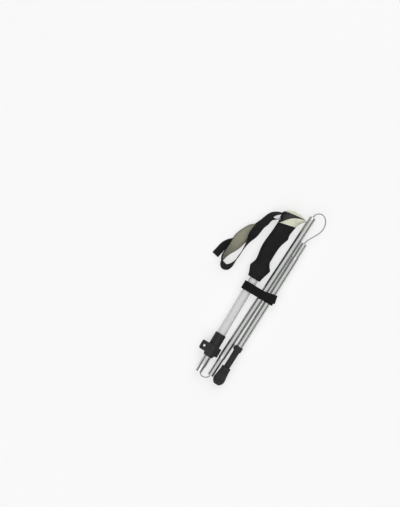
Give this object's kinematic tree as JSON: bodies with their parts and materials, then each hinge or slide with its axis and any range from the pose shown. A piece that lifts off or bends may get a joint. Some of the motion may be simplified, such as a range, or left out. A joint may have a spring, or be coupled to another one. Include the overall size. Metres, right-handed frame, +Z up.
{
  "type": "folding walking stick",
  "caption": "Folding walking stick with a foam grip, wrist strap and flip lock, folded into a bundle of side-by-side tubes joined by a tension cable.",
  "frame": {"origin": "under the middle of the folded bundle, on the surface it lies on", "axes": "+Y along the upper tube towards the grip, +Z up out of the flat bundle, +X from the grip's tube towards the folded tubes"},
  "size_m": [0.1644, 0.3943, 0.0298],
  "materials": {
    "white_paint": "satin",
    "polished_aluminium": "polished",
    "black_foam": "matte",
    "black_nylon": "satin",
    "cream_plastic": "satin",
    "black_webbing": "matte",
    "khaki_lining": "matte",
    "steel": "satin",
    "cable_coating": "satin",
    "black_rubber": "matte"
  },
  "bodies": {
    "handle": {"upper_tube": "white_paint", "foam_grip": "black_foam", "head_base": "cream_plastic", "head_cap": "cream_plastic", "strap_wedge": "black_nylon", "strap_pin": "steel", "strap_webbing": "black_webbing", "strap_lining": "khaki_lining", "strap_tail": "black_webbing", "clamp_collar": "black_nylon", "lever_pin": "steel", "tension_screw": "steel", "tension_nut": "steel", "tube_band": "black_webbing"},
    "clamp_lever": {"clamp_lever": "black_nylon"},
    "adjusting_tube": {"adjusting_tube": "polished_aluminium", "adjusting_bush": "black_nylon", "upper_cable_stop": "steel", "upper_cable": "cable_coating"},
    "locking_tube": {"locking_tube": "polished_aluminium", "locking_bush": "black_nylon", "button_spring": "steel", "bottom_cable_bend": "cable_coating"},
    "snap_button": {"snap_button": "steel"},
    "middle_cable": {"middle_cable": "cable_coating"},
    "middle_section": {"middle_tube": "polished_aluminium", "middle_ferrule": "polished_aluminium"},
    "lower_cable": {"top_cable_loop": "cable_coating"},
    "lower_section": {"lower_tube": "polished_aluminium", "lower_ferrule": "polished_aluminium", "lower_cable_stop": "steel", "tip_holder": "black_rubber", "steel_tip": "steel"},
    "foot": {"rubber_foot": "black_rubber"}
  },
  "joints": [
    {"name": "lever_flip", "type": "hinge", "parent": "handle", "child": "clamp_lever", "pos_m": [-0.0012, -0.14295, 0.0244], "axis": [0, -1, 0], "range_deg": [0, 115]},
    {"name": "length_adjust", "type": "slide", "parent": "handle", "child": "adjusting_tube", "axis": [0, -1, 0], "range_m": [0, 0.2]},
    {"name": "deploy_lock", "type": "slide", "parent": "adjusting_tube", "child": "locking_tube", "axis": [0, -1, 0], "range_m": [0, 0.11]},
    {"name": "button_press", "type": "slide", "parent": "locking_tube", "child": "snap_button", "axis": [0, 0, 1], "range_m": [0, 0.0012], "stiffness_N_per_m": 2000, "springref_m": -0.0015, "deforming": ["button_spring"]},
    {"name": "middle_fold", "type": "hinge", "parent": "locking_tube", "child": "middle_cable", "pos_m": [0.02705, -0.19105, 0.0149], "axis": [0, 0, -1], "range_deg": [0, 177.9], "deforming": ["bottom_cable_bend", "tube_band"]},
    {"name": "middle_seat", "type": "slide", "parent": "middle_cable", "child": "middle_section", "axis": [-0.0366, -0.9993, 0], "range_m": [0, 0.0407]},
    {"name": "lower_seat", "type": "slide", "parent": "middle_section", "child": "lower_cable", "axis": [-0.0366, -0.9993, 0], "range_m": [0, 0.0327]},
    {"name": "lower_fold", "type": "hinge", "parent": "lower_cable", "child": "lower_section", "pos_m": [0.05831, 0.15479, 0.0149], "axis": [0, 0, 1], "range_deg": [0, 179.15], "deforming": ["top_cable_loop"]},
    {"name": "foot_pull", "type": "slide", "parent": "lower_section", "child": "foot", "axis": [-0.0218, -0.9998, 0], "range_m": [0, 0.032]}
  ]
}
